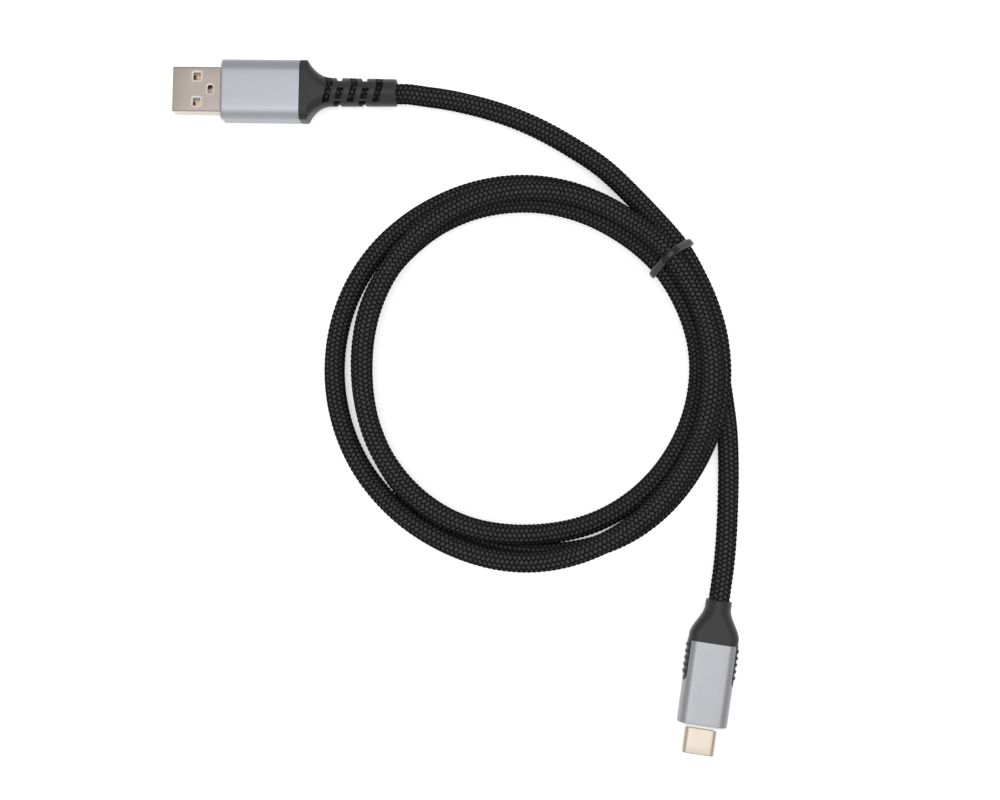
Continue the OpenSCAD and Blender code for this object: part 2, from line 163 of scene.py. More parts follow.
# How the turns settle: nearest points that can be two turns, the share of the cord's
# thickness that counts as lying on another turn, and the points held at either end
TURN_APART = 8
LIES_ON = 0.97
HELD_FIRST = 8
HELD_LAST = 6


def smooth_curve(points, steps):
    """Points along a smooth curve through the given ones, a centripetal Catmull-Rom."""
    p = np.array(points, float)
    p = np.vstack([2 * p[0] - p[1], p, 2 * p[-1] - p[-2]])
    out = []
    for a, b, c, d in zip(p[:-3], p[1:-2], p[2:-1], p[3:]):
        t1 = np.linalg.norm(b - a) ** 0.5
        t2 = t1 + np.linalg.norm(c - b) ** 0.5
        t3 = t2 + np.linalg.norm(d - c) ** 0.5
        for t in np.linspace(t1, t2, steps, endpoint=False):
            ab = a + (b - a) * t / t1
            bc = b + (c - b) * (t - t1) / (t2 - t1)
            cd = c + (d - c) * (t - t2) / (t3 - t2)
            abc = ab + (bc - ab) * t / t2
            bcd = bc + (cd - bc) * (t - t1) / (t3 - t1)
            out.append(abc + (bcd - abc) * (t - t1) / (t2 - t1))
    out.append(p[-2])
    return np.array(out)


def lengths(line):
    """Length along a line up to each of its points."""
    return np.concatenate([[0], np.cumsum(np.linalg.norm(np.diff(line, axis=0), axis=1))])


def evenly(line, step):
    """Points on a line, about a step apart."""
    along = lengths(line)
    at = np.linspace(0, along[-1], round(along[-1] / step) + 1)
    return np.stack([np.interp(at, along, line[:, k]) for k in range(3)], axis=1)


def coil_turns():
    """The wound part, from just before the band to where the USB-C lead goes out."""
    knots = [(FIRST_DEG + KNOT_DEG * i, r, z) for i, (r, z) in enumerate(TURNS)]
    fine = smooth_curve(knots, steps=3)
    fine = fine[(fine[:, 0] > WOUND_FROM) & (fine[:, 0] < WOUND_TO)]
    angle = np.radians(fine[:, 0])
    x = COIL_MIDDLE[0] + fine[:, 1] * MM * np.cos(angle)
    y = COIL_MIDDLE[1] - fine[:, 1] * MM * np.sin(angle)
    return [tuple(p) for p in np.stack([x, y, fine[:, 2] * MM], axis=1)]


def whole_route():
    """The cord from inside one strain relief to inside the other."""
    start = [on_a(A_CORD_X), on_a(A_END_X), on_a(A_END_X - STRAIGHT_L)]
    end = [on_c(C_END_X - STRAIGHT_L), on_c(C_END_X), on_c(C_CORD_X)]
    knots = start + LEAD_A + coil_turns() + LEAD_C + end
    return evenly(smooth_curve([tuple(p) for p in knots], steps=8), ROUTE_STEP)


def around_coil(line):
    """Each point's angle around the coil, clockwise, and its distance from the middle."""
    x, y = line[:, 0] - COIL_MIDDLE[0], line[:, 1] - COIL_MIDDLE[1]
    return np.degrees(np.arctan2(-y, x)), np.hypot(x, y)


def settle(line, rounds=500, weight=4e-6, stiff=0.06, bend_rounds=6, push_rounds=3):
    """Lets the turns sink onto each other and onto the table: only heights change."""
    n = len(line)
    angle, distance = around_coil(line)
    floor = np.full(n, CORD_D / 2 + RELIEF * (1 - MEAN_HEIGHT))
    floor[(abs(angle - BAND_DEG) < BAND_HALF_DEG) & (distance < COIL_REACH)] += BAND_T
    i, j = np.triu_indices(n, TURN_APART)
    apart = np.linalg.norm((line[i] - line[j])[:, :2], axis=1)
    near = apart < CORD_D * LIES_ON
    i, j, apart = i[near], j[near], apart[near]
    under = np.where(line[i, 2] < line[j, 2], i, j)
    over = i + j - under
    need = np.sqrt(CORD_D ** 2 - apart ** 2)
    z = np.maximum(line[:, 2], floor)
    for _ in range(rounds):
        z -= weight
        for _ in range(bend_rounds):
            bend = z[:-4] - 4 * z[1:-3] + 6 * z[2:-2] - 4 * z[3:-1] + z[4:]
            z[2:-2] -= stiff * bend
        z = np.maximum(z, floor)
        for _ in range(push_rounds):
            deep = np.maximum(0, need - (z[over] - z[under])) / 2
            up, down = np.zeros(n), np.zeros(n)
            np.maximum.at(up, over, deep)
            np.maximum.at(down, under, deep)
            z = np.maximum(z + up - down, floor)
        z[:HELD_FIRST] = line[:HELD_FIRST, 2]
        z[-HELD_LAST:] = line[-HELD_LAST:, 2]
    return np.column_stack([line[:, :2], z])


# The braid: columns of slanting stitches that run along the cord, each column slanting the
# other way than its neighbours. A stitch is STITCH long and stands RELIEF high, over a mean
# height that keeps the cord's thickness, and falls off across and along. The mesh has
# PER_COLUMN points across a column and PER_STITCH rings to a stitch, and the columns turn
# around the cord by TWIST radians per metre.
COLUMNS = 12
PER_COLUMN = 6
STITCH = 0.00122
PER_STITCH = 5.4
RELIEF = 0.00032
MEAN_HEIGHT = 0.3
SLANT = 0.15
ACROSS_FALL = 2.4
ALONG_FALL = 3.95
TWIST = 9.0
HALF_DROP = 0.5


def stitch_height(u, v):
    """Height of the braid from 0 to 1, at column u and stitch v."""
    column = np.floor(u)
    across = u - column - 0.5
    odd = column % 2
    phase = v + (1 - 2 * odd) * SLANT * across * 2 + HALF_DROP * odd
    along = phase - np.round(phase)
    return np.sqrt(np.maximum(0, 1 - ACROSS_FALL * across ** 2 - ALONG_FALL * along ** 2))


def mesh_object(name, points, faces, materials, smooth=True):
    """A new mesh object in the scene."""
    mesh = bpy.data.meshes.new(name)
    mesh.from_pydata([tuple(p) for p in points], [], [tuple(f) for f in faces])
    mesh.validate()
    mesh.update()
    for material in materials:
        mesh.materials.append(material)
    mesh.polygons.foreach_set("use_smooth", [smooth] * len(mesh.polygons))
    piece = bpy.data.objects.new(name, mesh)
    bpy.context.scene.collection.objects.link(piece)
    return piece


def braided_tube(name, line, first_length, material):
    """A braided cord along a line whose points are one ring apart."""
    n, m = len(line), COLUMNS * PER_COLUMN
    way = np.gradient(line, axis=0)
    way /= np.linalg.norm(way, axis=1)[:, None]
    side = np.cross(way, UP)
    side /= np.linalg.norm(side, axis=1)[:, None]
    top = np.cross(side, way)
    u = np.arange(m) / PER_COLUMN
    v = (first_length + lengths(line)) / STITCH
    height = stitch_height(u[None, :], v[:, None])
    radius = CORD_D / 2 + RELIEF * (height - MEAN_HEIGHT)
    angle = 2 * math.pi * u[None, :] / COLUMNS + TWIST * STITCH * v[:, None]
    ring = side[:, None, :] * np.cos(angle)[:, :, None]
    ring = ring + top[:, None, :] * np.sin(angle)[:, :, None]
    points = (line[:, None, :] + ring * radius[:, :, None]).reshape(-1, 3)
    k, i = np.meshgrid(np.arange(n - 1), np.arange(m), indexing="ij")
    j = (i + 1) % m
    faces = np.stack([k * m + i, (k + 1) * m + i, (k + 1) * m + j, k * m + j], axis=-1)
    piece = mesh_object(name, points, faces.reshape(-1, 4), [material])
    weave = piece.data.uv_layers.new(name="weave")
    right = np.where(j == 0, COLUMNS, u[j])
    low, high = v[k], v[k + 1]
    loops = np.stack([u[i], low, u[i], high, right, high, right, low], axis=-1)
    weave.data.foreach_set("uv", loops.reshape(-1).astype(np.float32))
    return piece


# ---- materials --------------------------------------------------------------------------


class Nodes:
    """A small helper that builds one material's node tree."""

    def __init__(self, name):
        self.material = bpy.data.materials.new(name)
        self.material.use_nodes = True
        self.tree = self.material.node_tree
        self.shader = self.tree.nodes["Principled BSDF"]

    def add(self, kind, inputs=(), **settings):
        """Adds a node with some settings, and sets or links its inputs."""
        node = self.tree.nodes.new(kind)
        for key, value in settings.items():
            setattr(node, key, value)
        for key, value in dict(inputs).items():
            if isinstance(value, bpy.types.NodeSocket):
                self.tree.links.new(value, node.inputs[key])
            else:
                node.inputs[key].default_value = value
        return node

    def math(self, operation, a, b=0.0):
        """The result of one Math node."""
        return self.add("ShaderNodeMath", {0: a, 1: b}, operation=operation).outputs[0]

    def place(self):
        """Object coordinates in millimetres."""
        coordinates = self.add("ShaderNodeTexCoord").outputs["Object"]
        scaled = self.add("ShaderNodeVectorMath", {0: coordinates}, operation="SCALE")
        scaled.inputs["Scale"].default_value = 1 / MM
        return scaled.outputs[0]

    def noise(self, where, scale, detail=3.0):
        """Noise from 0 to 1, with scale in waves per millimetre."""
        inputs = {"Vector": where, "Scale": scale, "Detail": detail, "Roughness": 0.6}
        return self.add("ShaderNodeTexNoise", inputs).outputs["Fac"]

    def mix(self, share, a, b):
        """Blends two colours. A Mix node takes the share at 0 and the colours at 6 and 7."""
        node = self.add("ShaderNodeMix", data_type="RGBA")
        for index, value in ((0, share), (6, a), (7, b)):
            if isinstance(value, bpy.types.NodeSocket):
                self.tree.links.new(value, node.inputs[index])
            else:
                node.inputs[index].default_value = value
        return node.outputs[2]

    def spread(self, value, low, high):
        """Maps 0..1 to low..high."""
        inputs = {"Value": value, "To Min": low, "To Max": high}
        return self.add("ShaderNodeMapRange", inputs).outputs[0]

    def bump(self, height, distance, strength):
        """Bumps the surface by a height, with distance in millimetres."""
        inputs = {"Height": height, "Distance": distance * MM, "Strength": strength}
        normal = self.add("ShaderNodeBump", inputs).outputs[0]
        self.tree.links.new(normal, self.shader.inputs["Normal"])

    def drive(self, socket, value):
        """Links a value to one of the shader's sockets."""
        self.tree.links.new(value, self.shader.inputs[socket])

    def set(self, **values):
        """Sets the shader's own sockets, with _ for the spaces in their names."""
        for key, value in values.items():
            self.shader.inputs[key.replace("_", " ")].default_value = value


def grey(level):
    return (level, level, level, 1.0)


# The braid's colour: painted shade in the gaps and painted light on the crowns of the stitches,
# painted shade where the cord faces sideways or down, and uneven in patches. FILAMENTS run side
# by side in a stitch.
BRAID_GAP_PAINTED_SHADE = grey(0.0016)
BRAID_CROWN_PAINTED_LIGHT = grey(0.058)
SIDE_SHADE = 0.05
LEAST_SHADE = 0.15
PATCHES = (0.0, 1.95)
FILAMENTS = 6


def braid_material():
    """Black nylon, with the same stitches as stitch_height()."""
    nodes = Nodes("braided_nylon")
    uv = nodes.add("ShaderNodeUVMap", uv_map="weave").outputs[0]
    parts = nodes.add("ShaderNodeSeparateXYZ", {0: uv})
    u, v = parts.outputs[0], parts.outputs[1]
    column = nodes.math("FLOOR", u)
    across = nodes.math("SUBTRACT", nodes.math("SUBTRACT", u, column), 0.5)
    odd = nodes.math("MODULO", column, 2.0)
    lean = nodes.math("SUBTRACT", 1.0, nodes.math("MULTIPLY", odd, 2.0))
    slope = nodes.math("MULTIPLY", nodes.math("MULTIPLY", lean, across), 2 * SLANT)
    drop = nodes.math("MULTIPLY", odd, HALF_DROP)
    phase = nodes.math("ADD", nodes.math("ADD", v, slope), drop)
    along = nodes.math("PINGPONG", phase, 0.5)
    off_middle = nodes.math("ABSOLUTE", across)
    fall_across = nodes.math("MULTIPLY", nodes.math("POWER", off_middle, 2.0), ACROSS_FALL)
    fall_along = nodes.math("MULTIPLY", nodes.math("POWER", along, 2.0), ALONG_FALL)
    crown = nodes.math("SUBTRACT", nodes.math("SUBTRACT", 1.0, fall_across), fall_along)
    crown = nodes.math("MAXIMUM", crown, 0.0)
    filament = nodes.math("SINE", nodes.math("MULTIPLY", phase, 2 * math.pi * FILAMENTS))
    place = nodes.place()
    patch = nodes.noise(place, 1.3)
    fuzz = nodes.noise(place, 9.0)
    # Painted shade: the colour darkens where the surface faces sideways or down, by the
    # normal's height.
    normal = nodes.add("ShaderNodeNewGeometry").outputs["Normal"]
    upward = nodes.add("ShaderNodeSeparateXYZ", {0: normal}).outputs[2]
    side_painted_shade = nodes.math("MAXIMUM", nodes.math("ADD", upward, SIDE_SHADE), LEAST_SHADE)
    uneven = nodes.spread(patch, *PATCHES)
    lit = nodes.math("MULTIPLY", nodes.math("MULTIPLY", crown, side_painted_shade), uneven)
    # Painted shade and light: near black in the stitches' gaps, grey on their crowns.
    nodes.drive("Base Color", nodes.mix(lit, BRAID_GAP_PAINTED_SHADE, BRAID_CROWN_PAINTED_LIGHT))
    nodes.drive("Roughness", nodes.spread(fuzz, 0.45, 0.7))
    height = nodes.math("ADD", nodes.math("MULTIPLY", filament, 0.35), fuzz)
    nodes.bump(height, 0.05, 0.8)
    nodes.set(Specular_IOR_Level=0.0)
    return nodes.material


def rubber_material(name, low, high, rough_low, rough_high, grain=0.02):
    """A dark rubber between two grey levels and two roughnesses."""
    nodes = Nodes(name)
    place = nodes.place()
    nodes.drive("Base Color", nodes.mix(nodes.noise(place, 0.7), grey(low), grey(high)))
    nodes.drive("Roughness", nodes.spread(nodes.noise(place, 2.5), rough_low, rough_high))
    nodes.bump(nodes.noise(place, 22.0, 4.0), grain, 0.6)
    nodes.set(Specular_IOR_Level=0.34)
    return nodes.material


def metal_material(name, low, high, rough_low, rough_high, grain_scale, grain,
                   stretch=(1, 1, 1)):
    """A metal between two colours, with a grain that stretch can lengthen one way."""
    nodes = Nodes(name)
    place = nodes.place()
    long_way = nodes.add("ShaderNodeVectorMath", {0: place, 1: stretch}, operation="MULTIPLY")
    fine = nodes.noise(long_way.outputs[0], grain_scale, 4.0)
    cloud = nodes.noise(place, 0.35, 2.0)
    nodes.drive("Base Color", nodes.mix(cloud, low, high))
    nodes.drive("Roughness", nodes.spread(fine, rough_low, rough_high))
    nodes.bump(fine, grain, 0.5)
    nodes.set(Metallic=1.0)
    return nodes.material


PLASTIC_SHADE = 0.82


def plastic_material(name, colour, rough, grain=0.01):
    """A smooth plastic, clouded between its colour and a darker one."""
    nodes = Nodes(name)
    place = nodes.place()
    darker = tuple(c * PLASTIC_SHADE for c in colour[:3]) + (1.0,)
    nodes.drive("Base Color", nodes.mix(nodes.noise(place, 1.2), darker, colour))
    nodes.drive("Roughness", nodes.spread(nodes.noise(place, 4.0), rough - 0.08, rough + 0.1))
    nodes.bump(nodes.noise(place, 16.0), grain, 0.5)
    return nodes.material


BRAID = braid_material()
OVERMOLD = rubber_material("moulded_rubber", 0.012, 0.016, 0.36, 0.48)
BAND_RUBBER = rubber_material("band_rubber", 0.004, 0.006, 0.12, 0.22, 0.006)
A_ALUMINIUM = metal_material("anodised_aluminium_a", (0.325, 0.325, 0.357, 1),
                             (0.345, 0.345, 0.377, 1), 0.34, 0.44, 26.0, 0.006)
C_ALUMINIUM = metal_material("anodised_aluminium_c", (0.285, 0.285, 0.298, 1),
                             (0.305, 0.305, 0.318, 1), 0.34, 0.44, 26.0, 0.006)
POLISHED = metal_material("polished_bevel", (0.66, 0.665, 0.65, 1), (0.7, 0.705, 0.69, 1),
                          0.10, 0.18, 30.0, 0.001)
A_STEEL = metal_material("satin_steel", (0.30, 0.26, 0.235, 1), (0.325, 0.285, 0.26, 1),
                         0.30, 0.42, 7.0, 0.004, (0.25, 1, 1))
# The bevels around the shell's holes: a lighter copy of its steel, a painted highlight.
A_RIM_PAINTED_HIGHLIGHT = metal_material("rim_painted_highlight", (0.76, 0.71, 0.63, 1), (0.81, 0.76, 0.68, 1),
                       0.2, 0.3, 12.0, 0.002)
# The shell's side walls: a lighter copy of its steel, painted light.
A_SIDE_PAINTED_LIGHT = metal_material("shell_side_painted_light", (0.50, 0.455, 0.40, 1), (0.54, 0.495, 0.44, 1),
                        0.25, 0.35, 8.0, 0.003)
C_STEEL = metal_material("champagne_steel", (0.435, 0.375, 0.31, 1), (0.465, 0.405, 0.34, 1),
                         0.28, 0.38, 8.0, 0.003, (1, 0.25, 1))
GOLD = metal_material("gold_plating", (0.36, 0.25, 0.14, 1), (0.42, 0.29, 0.17, 1),
                      0.2, 0.32, 10.0, 0.001)
TINNED = metal_material("tinned_steel", (0.55, 0.55, 0.53, 1), (0.62, 0.62, 0.6, 1),
                        0.3, 0.42, 9.0, 0.002)


# ---- the cord's pieces ------------------------------------------------------------------

# The braid's rings are closer than the settled points, so every second one of those is kept
# and a smooth curve goes through them
ring_step = STITCH / PER_STITCH
route = settle(whole_route())
fine_route = evenly(smooth_curve(route[::2], steps=6), ring_step)
fine_length = lengths(fine_route)


def band_crossings():
    """Where the cord passes under the band, as places along it."""
    angle, distance = around_coil(fine_route)
    passes = (angle[:-1] < BAND_DEG) & (angle[1:] >= BAND_DEG) & (distance[1:] < COIL_REACH)
    return list(np.nonzero(passes)[0] + 1)


# The five pieces of cord, cut where it passes under the ring, each with its centre line and
# its length
crossings = band_crossings()
cuts = [0] + crossings + [len(fine_route) - 1]
CORD_PIECES = ["braid_lead_a", "braid_turn_1", "braid_turn_2", "braid_turn_3", "braid_lead_c"]
braid = {}
for piece_name, first, last in zip(CORD_PIECES, cuts[:-1], cuts[1:]):
    part = fine_route[first:last + 1]
    tube = braided_tube(piece_name, part, fine_length[first], BRAID)
    braid[piece_name] = (tube, part, fine_length[last] - fine_length[first])

for piece_name in CORD_PIECES[1:4]:
    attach(braid[piece_name][0], "coil")
    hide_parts("cord_coil")
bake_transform(braid["braid_lead_a"][0])
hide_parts("cord_lead_a")
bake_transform(braid["braid_lead_c"][0])
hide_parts("cord_lead_c")


# ---- shapes for the plugs ---------------------------------------------------------------

CORNER_STEPS = 10
SIDE_STEPS = 4
LEAST_CORNER = 0.02


def section(x, w, h, r, inset=0.0, power=2.0, squash=1.0):
    """Points of a rounded rectangle at x, w wide along Y and h high along Z.

    Its corners are r wide and r * squash high, and power 2 makes them round, less than 2
    flatter. inset moves the whole outline inwards.
    """
    w, h = w - 2 * inset, h - 2 * inset
    r = min(max(r - inset, LEAST_CORNER), w / 2, h / 2)
    rz = r * squash
    points = []
    for corner, (sy, sz) in enumerate(((1, 1), (-1, 1), (-1, -1), (1, -1))):
        turn = math.radians(90 * corner)
        for step in range(CORNER_STEPS + 1):
            angle = math.radians(90 * step / CORNER_STEPS)
            c = max(0.0, math.cos(angle)) ** (2 / power)
            d = math.sin(angle) ** (2 / power)
            y = r * (c * math.cos(turn) - d * math.sin(turn))
            z = rz * (c * math.sin(turn) + d * math.cos(turn))
            points.append((x, sy * (w / 2 - r) + y, sz * (h / 2 - rz) + z))
        a = points[-1]
        if corner % 2 == 0:
            b = (x, -sy * (w / 2 - r), a[2])
        else:
            b = (x, a[1], -sz * (h / 2 - rz))
        for step in range(1, SIDE_STEPS):
            share = step / SIDE_STEPS
            points.append(tuple(p + (q - p) * share for p, q in zip(a, b)))
    return points


def loft(name, rings, materials, place, closed=False, face_material=None):
    """A skin over rings with the same number of points.

    It is closed back to its first ring, or else has a cap at both ends. face_material gives
    the material's index for each span between two rings.
    """
    n = len(rings[0])
    points = [p for ring in rings for p in ring]
    count = len(rings)
    faces = []
    spans = range(count if closed else count - 1)
    for k in spans:
        a, b = k * n, (k + 1) % count * n
        faces += [(a + i, a + (i + 1) % n, b + (i + 1) % n, b + i) for i in range(n)]
    if not closed:
        faces += [tuple(range(n))[::-1], tuple(range((count - 1) * n, count * n))]
    piece = mesh_object(name, points, faces, materials)
    if face_material:
        for k in spans:
            for i in range(n):
                piece.data.polygons[k * n + i].material_index = face_material(k)
    tidy(piece)
    piece.data.transform(place)
    return piece


def tidy(piece, sharp_deg=38):
    """Turns all faces outwards and marks the edges that are meant to look sharp."""
    work = bmesh.new()
    work.from_mesh(piece.data)
    bmesh.ops.remove_doubles(work, verts=work.verts, dist=1e-5)
    bmesh.ops.recalc_face_normals(work, faces=work.faces)
    for face in work.faces:
        face.smooth = True
    for edge in work.edges:
        if len(edge.link_faces) == 2:
            edge.smooth = edge.calc_face_angle(0) < math.radians(sharp_deg)
    work.to_mesh(piece.data)
    work.free()


def cut_away(piece, cutters):
    """Takes the cutters out of the piece, and deletes them."""
    for cutter in cutters:
        hole = piece.modifiers.new("cut", "BOOLEAN")
        hole.operation = "DIFFERENCE"
        hole.solver = "EXACT"
        hole.object = cutter
    graph = bpy.context.evaluated_depsgraph_get()
    cut = bpy.data.meshes.new_from_object(piece.evaluated_get(graph))
    piece.modifiers.clear()
    piece.data = cut
    for cutter in cutters:
        bpy.data.objects.remove(cutter)


def arc_steps(count):
    """The angles of a quarter turn, from 0 to a right angle."""
    return [math.radians(90 * k / count) for k in range(count + 1)]


# ---- USB-A plug -------------------------------------------------------------------------

# The housing's width, height and corner width, and its corners' flattened outline
A_BODY = (15.8, 8.2, 3.3)
A_BODY_L = 20.8
A_SQUASH = 0.55
A_POWER = 1.75
A_EDGE_R = 0.65
A_OPENING = (12.06, 4.56, 0.58)

# Both housings' walls, the chamfers at the back edge and around the shell's opening
WALL = 0.7
FRONT_WALL = 1.0
BACK_CHAMFER = 0.15
OPENING_CHAMFER = 0.12


def housing(name, body, length, edge, opening, place, materials, bright=(), power=2.0,
            squash=1.0):
    """An aluminium sleeve with a front wall that the steel shell comes through.

    edge lists (x, inset) around the front edge, and bright the spans of it that are polished.
    """
    w, h, r = body
    rings = [section(x, w, h, r, WALL, power, squash) for x in (-FRONT_WALL, -length)]
    sides = [(-length, BACK_CHAMFER), (-length + BACK_CHAMFER, 0)]
    sides += [(x, 0) for x in np.linspace(-length + 1.0, edge[0][0] - 0.3, 8)]
    first = len(rings) + len(sides)
    rings += [section(x, w, h, r, inset, power, squash) for x, inset in sides + edge]
    rings += [section(0.0, *opening, -OPENING_CHAMFER), section(-OPENING_CHAMFER, *opening)]
    rings += [section(-FRONT_WALL, *opening)]
    return loft(name, rings, materials, place, closed=True,
                face_material=lambda k: 1 if k - first in bright else 0)


a_edge = [(-A_EDGE_R * (1 - math.sin(t)), A_EDGE_R * (1 - math.cos(t))) for t in arc_steps(8)]
a_housing = housing("a_housing", A_BODY, A_BODY_L, a_edge, A_OPENING, A_FRAME,
                    [A_ALUMINIUM], power=A_POWER, squash=A_SQUASH)
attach(a_housing, "plug_a")
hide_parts("usb_a_housing")


# The USB-A shell: its outline, its wall, how far it goes in, its lip, and where its inside
# starts behind the tip. Its holes: length, width and corner, how wide the bevel is, and their
# places. HOLE_PAST is how far a cutter reaches above and below the bevel.
A_SHELL = (12.0, 4.5, 0.55)
A_SHELL_WALL = 0.3
A_SHELL_IN = -6.0
A_LIP = 0.22
A_LIP_INSET = 0.7 * A_LIP
A_MOUTH = 0.25
WINDOW = (2.0, 2.1, 0.3)
WINDOW_BEVEL = 0.45
WINDOW_FROM_TIP = 6.4
WINDOW_Y = 3.35
CRIMP_HOLE = (1.45, 2.35, 0.7)
CRIMP_BEVEL = 0.42
CRIMP_FROM_TIP = 9.9
BEVEL_DEPTH = 0.28
HOLE_PAST = 0.6
SIDE_INDEX = 2


def tapered_hole(name, at, size, bevel):
    """A cutter that is wider at the surface by the bevel, so that the hole's edge slants."""
    x, y, z = at
    l, w, r = size
    spans = [(BEVEL_DEPTH + HOLE_PAST, 0.0), (BEVEL_DEPTH, 0.0), (0.0, bevel),
             (-HOLE_PAST, bevel)]
    rings = []
    for down, wider in spans:
        outline = section(0.0, w + 2 * wider, l + 2 * wider, r + wider)
        rings.append([(x + p[2], y + p[1], z - down) for p in outline])
    # The slanted edge takes the lighter copy of the steel, a painted highlight.
    return loft(name, rings, [A_STEEL, A_RIM_PAINTED_HIGHLIGHT], Matrix.Identity(4),
                face_material=lambda k: 1)


def a_shell_cutters():
    """Two latch windows above and two below, and the crimp hole above."""
    top = A_SHELL[1] / 2
    cutters = []
    for side in (-1, 1):
        for face in (1, -1):
            hole = tapered_hole("window", (A_SHELL_OUT - WINDOW_FROM_TIP, WINDOW_Y * side, top),
                                WINDOW, WINDOW_BEVEL)
            if face < 0:
                hole.data.transform(Matrix.Rotation(math.pi, 4, "X"))
            cutters.append(hole)
    cutters.append(tapered_hole("crimp_hole", (A_SHELL_OUT - CRIMP_FROM_TIP, 0.0, top),
                                CRIMP_HOLE, CRIMP_BEVEL))
    return cutters


def a_steel_shell():
    """The folded steel shell, open at its tip."""
    rings = [section(x, *A_SHELL) for x in (A_SHELL_IN, 0.0, 4.0, 8.0, A_SHELL_OUT - A_LIP)]
    for angle in arc_steps(4)[1:]:
        rings.append(section(A_SHELL_OUT - A_LIP * (1 - math.sin(angle)), *A_SHELL,
                             A_LIP_INSET * (1 - math.cos(angle))))
    rings += [section(x, *A_SHELL, A_SHELL_WALL) for x in (A_SHELL_OUT - A_MOUTH, A_SHELL_IN)]
    piece = loft("a_shell", rings, [A_STEEL, A_RIM_PAINTED_HIGHLIGHT, A_SIDE_PAINTED_LIGHT], Matrix.Identity(4), closed=True)
    # The side walls take the lighter copy of the steel: painted light.
    for face in piece.data.polygons:
        if abs(face.normal.y) > 0.8 and abs(face.center.y) > A_SHELL[0] / 2 - 0.1:
            face.material_index = SIDE_INDEX
    cut_away(piece, a_shell_cutters())
    tidy(piece, sharp_deg=25)
    piece.data.transform(A_FRAME)
    return piece


a_shell = a_steel_shell()
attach(a_shell, "plug_a")
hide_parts("usb_a_shell")


# The strain relief: a collar, a funnel whose shoulder takes a share of its length, and a
# sleeve that tapers a little and has a round end
A_COLLAR_L = 1.7
A_COLLAR_CHAMFER = 0.06
A_COLLAR_RING = 1.2
A_FUNNEL_L = 6.8
A_FUNNEL_STEPS = 36
A_SHOULDER = 0.14
A_NECK_D = 7.5
A_END_D = 7.1
A_END_R = 0.3
A_BORE_X = -26.0
BORE_D = 5.3
BORE_CHAMFER = 0.15

# What both strain reliefs tuck into the back of their housings
TUCK_L = 0.6
TUCK_INSET = 0.75

# The slots in the sleeve: width, lean to and fro, reach from the axis, and the places of the
# rings of slots. Each slot is its middle and half its spread in degrees around the sleeve.
SLOT_W = 1.75
SLOT_LEAN = 0.75
SLOT_PEAK_DEG = 22
SLOT_FROM_R = 2.4
SLOT_TO_R = 5.4
SLOT_STEP_DEG = 4
SLOT_LEAST_STEPS = 6
SLOT_RINGS = [-27.9, -31.0, -34.4, -37.6, -41.0]
LONG_SLOTS = [(9, 65), (189, 65)]
WINDOW_SLOTS = [(-16, 23), (84, 45), (164, 20), (268, 42)]


def lean(degrees):
    """How far along the sleeve a slot leans towards the cord at each angle around it."""
    share = ((degrees - SLOT_PEAK_DEG) / 90) % 2
    return SLOT_LEAN * (1 - 2 * min(share, 2 - share))


def slot_cutter(x, middle, half):
    """A slot that leans to and fro around the sleeve."""
    corners = [(-SLOT_W / 2, SLOT_FROM_R), (SLOT_W / 2, SLOT_FROM_R), (SLOT_W / 2, SLOT_TO_R),
               (-SLOT_W / 2, SLOT_TO_R)]
    rings = []
    steps = max(SLOT_LEAST_STEPS, round(half / SLOT_STEP_DEG))
    for k in range(-steps, steps + 1):
        degrees = middle + half * k / steps
        x0 = x - lean(degrees)
        angle = math.radians(degrees)
        sy, cz = math.sin(angle), math.cos(angle)
        rings.append([(x0 + dx, -r * sy, r * cz) for dx, r in corners])
    return loft("slot", rings, [OVERMOLD], Matrix.Identity(4))


def a_strain_relief():
    """Collar, funnel and slotted sleeve in one moulding, bored for the cord."""
    w, h, r = A_BODY
    front = -A_BODY_L
    outline = [(front + TUCK_L, TUCK_INSET), (front, TUCK_INSET), (front, A_COLLAR_CHAMFER),
               (front - A_COLLAR_CHAMFER, 0.0), (front - A_COLLAR_RING, 0.0)]
    rings = [section(x, w, h, r, inset, squash=A_SQUASH) for x, inset in outline]
    funnel_x = front - A_COLLAR_L
    for k in range(A_FUNNEL_STEPS + 1):
        share = k / A_FUNNEL_STEPS
        eased = min(1.0, share / A_SHOULDER)
        left = 1 - (1 - (1 - share) ** 2.5) * eased * (2 - eased)
        rings.append(section(funnel_x - share * A_FUNNEL_L,
                             A_NECK_D + (w - A_NECK_D) * left,
                             A_NECK_D + (h - A_NECK_D) * left,
                             A_NECK_D / 2 + (r - A_NECK_D / 2) * left,
                             squash=1 + (A_SQUASH - 1) * left))
    sleeve_x = funnel_x - A_FUNNEL_L
    for x in np.linspace(sleeve_x, A_END_X + A_END_R, 24)[1:]:
        share = (x - sleeve_x) / (A_END_X - sleeve_x)
        d = A_NECK_D + (A_END_D - A_NECK_D) * share
        rings.append(section(x, d, d, d / 2))
    for angle in arc_steps(4)[1:]:
        rings.append(section(A_END_X + A_END_R * (1 - math.sin(angle)), A_END_D, A_END_D,
                             A_END_D / 2, A_END_R * (1 - math.cos(angle))))
    rings += [section(A_END_X, BORE_D, BORE_D, BORE_D / 2, -BORE_CHAMFER)]
    bore_places = np.linspace(A_END_X + BORE_CHAMFER, A_BORE_X, 16)
    rings += [section(x, BORE_D, BORE_D, BORE_D / 2) for x in bore_places]
    piece = loft("a_strain_relief", rings, [OVERMOLD], Matrix.Identity(4))
    cutters = []
    for k, x in enumerate(SLOT_RINGS):
        slots = WINDOW_SLOTS if k % 2 else LONG_SLOTS
        cutters += [slot_cutter(x, middle, half) for middle, half in slots]
    cut_away(piece, cutters)
    tidy(piece)
    piece.data.transform(A_FRAME)
    return piece


a_relief = a_strain_relief()
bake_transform(a_relief)
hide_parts("usb_a_overmold")


# ---- USB-C plug -------------------------------------------------------------------------

